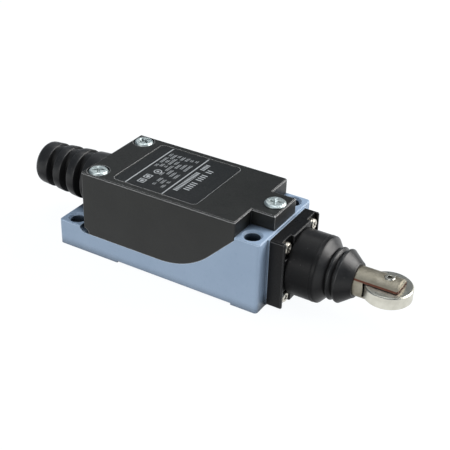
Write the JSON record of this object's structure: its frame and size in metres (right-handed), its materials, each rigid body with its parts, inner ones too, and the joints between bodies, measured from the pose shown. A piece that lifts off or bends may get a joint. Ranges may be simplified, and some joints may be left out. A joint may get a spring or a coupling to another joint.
{
  "type": "limit switch",
  "caption": "Compact limit switch: painted metal base, black cover, sealed spring-return roller plunger, ribbed cable inlet and a built-in contact block.",
  "frame": {"origin": "centre of the four mounting holes, on the mounting face", "axes": "+X along the plunger, out of the head; +Z from the mounting face to the cover"},
  "size_m": [0.1147, 0.028, 0.0258],
  "materials": {
    "base_paint": "fine satin powder coat, blue-grey",
    "cover_plastic": "fine satin texture, black",
    "label_film": "smooth satin black film",
    "flange_plastic": "semi-gloss black",
    "boot_rubber": "matte black rubber",
    "seal_rubber": "matte black rubber",
    "zinc_screw": "bright zinc plate",
    "nickel_screw": "nickel plate",
    "nickel_rod": "turned, nickel plated",
    "roller_steel": "turned and polished steel",
    "bearing_bronze": "plain bearing bronze",
    "spring_steel": "drawn spring wire",
    "case_plastic": "moulded phenolic, brown-red",
    "pusher_plastic": "natural moulded plastic",
    "terminal_brass": "stamped brass",
    "contact_silver": "silver alloy",
    "insulator": "pressed fibre sheet"
  },
  "bodies": {
    "housing": {"base_housing": "base_paint", "cover": "cover_plastic", "cover_gasket": "seal_rubber", "rating_label": "label_film", "cover_screw_front": "zinc_screw", "cover_screws_rear": "zinc_screw", "head_flange": "flange_plastic", "head_seal_ring": "seal_rubber", "head_screws": "nickel_screw", "guide_bush": "bearing_bronze", "rod_seal": "seal_rubber", "bellows_boot": "boot_rubber", "return_spring": "spring_steel", "cable_boot": "boot_rubber", "switch_case": "case_plastic", "switch_lid": "case_plastic", "pusher_spring": "spring_steel", "nc_terminals": "terminal_brass", "no_terminals": "terminal_brass", "fixed_contacts": "contact_silver", "terminal_screws": "zinc_screw", "clamp_plates": "zinc_screw", "switch_screws": "zinc_screw", "insulator_sheet": "insulator", "ground_screw": "zinc_screw", "ground_washer": "zinc_screw"},
    "plunger": {"plunger": "nickel_rod", "retaining_ring": "spring_steel", "roller_pin": "roller_steel", "overtravel_spring": "spring_steel"},
    "roller": {"roller": "roller_steel"},
    "pusher": {"switch_pusher": "pusher_plastic", "contact_bridges": "terminal_brass", "bridge_contacts": "contact_silver", "bridge_springs": "spring_steel"}
  },
  "joints": [
    {"name": "plunger_slide", "type": "slide", "parent": "housing", "child": "plunger", "axis": [-1, 0, 0], "range_m": [0, 0.005], "stiffness_N_per_m": 1200, "springref_m": -0.005, "deforming": ["return_spring", "bellows_boot", "overtravel_spring"]},
    {"name": "roller_spin", "type": "hinge", "parent": "plunger", "child": "roller", "pos_m": [0.0615, 0, 0.0106], "axis": [0, 0, 1], "continuous": true},
    {"name": "pusher_slide", "type": "slide", "parent": "housing", "child": "pusher", "axis": [-1, 0, 0], "range_m": [0, 0.0012], "deforming": ["pusher_spring"]}
  ],
  "couplings": [
    {"joint": "pusher_slide", "follows": "plunger_slide", "ratio": 0.24}
  ]
}
